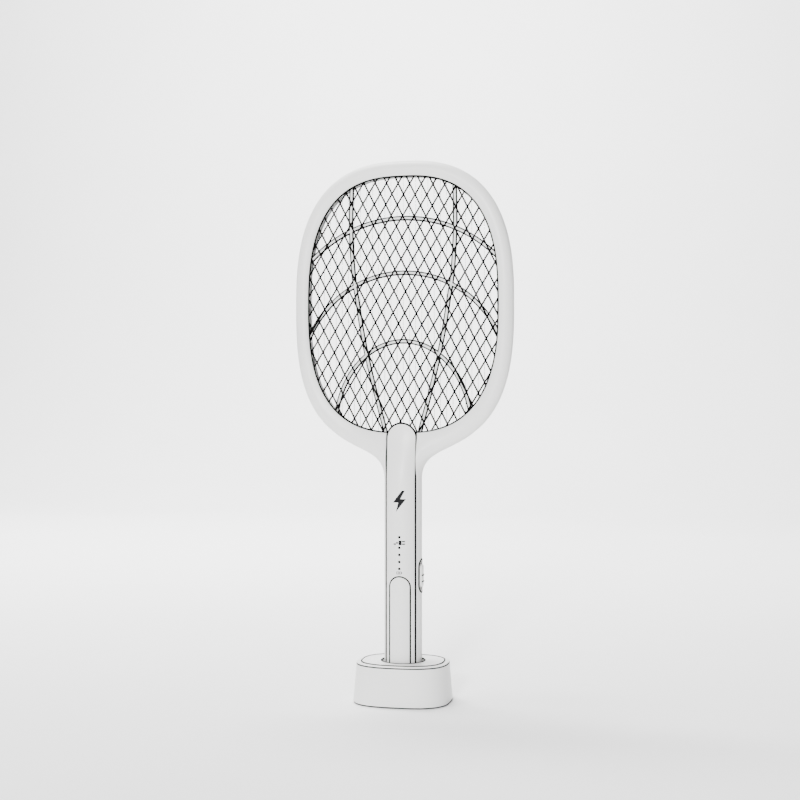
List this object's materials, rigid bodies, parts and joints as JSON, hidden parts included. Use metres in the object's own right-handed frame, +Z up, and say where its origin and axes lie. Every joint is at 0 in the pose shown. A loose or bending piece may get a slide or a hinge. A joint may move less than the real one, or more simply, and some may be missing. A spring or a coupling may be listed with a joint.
{
  "type": "electric fly swatter",
  "caption": "Racket-shaped electric insect swatter with a three-layer net, a long touch key and a side slide switch, standing in a charging dock.",
  "frame": {"origin": "on the floor under the middle of the dock", "axes": "+Z up along the handle, the front with the key faces -Y, +X is the side with the slide switch"},
  "size_m": [0.212, 0.0782, 0.5117],
  "materials": {
    "white_plastic": "satin, fine grain",
    "net_wire": "dark plated wire",
    "grid_wire": "bright wire",
    "violet_lens": "clear tinted",
    "light_pipe": "clear",
    "led_body": "clear epoxy",
    "circuit_board": "solder mask",
    "steel": "plated",
    "gold_contact": "gold flash",
    "black_plastic": "matt",
    "copper_winding": "taped winding",
    "cell_wrap": "shrink-wrapped steel can",
    "red_insulation": "matt",
    "rubber": "matt"
  },
  "bodies": {
    "dock": {"dock_housing": "white_plastic", "dock_base_plate": "white_plastic", "dock_board": "circuit_board", "usb_port": "steel", "pin_sleeve_left": "black_plastic", "pin_sleeve_right": "black_plastic", "base_screw_1": "steel", "base_screw_2": "steel", "base_screw_3": "steel", "base_screw_4": "steel", "rubber_foot_1": "rubber", "rubber_foot_2": "rubber", "rubber_foot_3": "rubber", "rubber_foot_4": "rubber"},
    "racket": {"front_shell": "white_plastic", "rear_shell": "white_plastic", "front_panel": "white_plastic", "front_mesh_carrier": "white_plastic", "rear_mesh_carrier": "white_plastic", "front_mesh": "net_wire", "rear_mesh": "net_wire", "live_grid": "grid_wire", "uv_lens": "violet_lens", "uv_lamp_board": "circuit_board", "uv_led_1": "led_body", "uv_led_2": "led_body", "uv_led_3": "led_body", "indicator_light_pipe": "light_pipe", "main_board": "circuit_board", "battery_cell": "cell_wrap", "high_voltage_transformer": "copper_winding", "high_voltage_capacitor": "red_insulation", "trigger_microswitch_lower": "black_plastic", "trigger_microswitch_upper": "black_plastic", "slide_switch_body": "black_plastic", "switch_bezel": "white_plastic", "handle_end_cap": "white_plastic", "charge_contact_left": "gold_contact", "charge_contact_right": "gold_contact", "live_lead": "red_insulation", "ground_lead": "black_plastic", "shell_screw_1": "steel", "shell_screw_2": "steel", "shell_screw_3": "steel", "shell_screw_4": "steel", "shell_screw_5": "steel", "shell_screw_6": "steel", "shell_screw_7": "steel", "shell_screw_8": "steel", "shell_screw_9": "steel", "shell_screw_10": "steel"},
    "trigger": {"trigger_button": "white_plastic"},
    "power_switch": {"switch_slider": "white_plastic"},
    "charge_pin_left": {"charge_pin_left": "gold_contact"},
    "charge_pin_right": {"charge_pin_right": "gold_contact"}
  },
  "joints": [
    {"name": "racket_lift", "type": "slide", "parent": "dock", "child": "racket", "axis": [0, 0, 1], "range_m": [0, 0.08]},
    {"name": "trigger_press", "type": "slide", "parent": "racket", "child": "trigger", "axis": [0, 1, 0], "range_m": [0, 0.001], "stiffness_N_per_m": 900},
    {"name": "power_switch_slide", "type": "slide", "parent": "racket", "child": "power_switch", "axis": [0, 0, 1], "range_m": [-0.003, 0.003]},
    {"name": "charge_pin_left_press", "type": "slide", "parent": "dock", "child": "charge_pin_left", "axis": [0, 0, -1], "range_m": [0, 0.0007], "stiffness_N_per_m": 600},
    {"name": "charge_pin_right_press", "type": "slide", "parent": "dock", "child": "charge_pin_right", "axis": [0, 0, -1], "range_m": [0, 0.0007], "stiffness_N_per_m": 600}
  ]
}
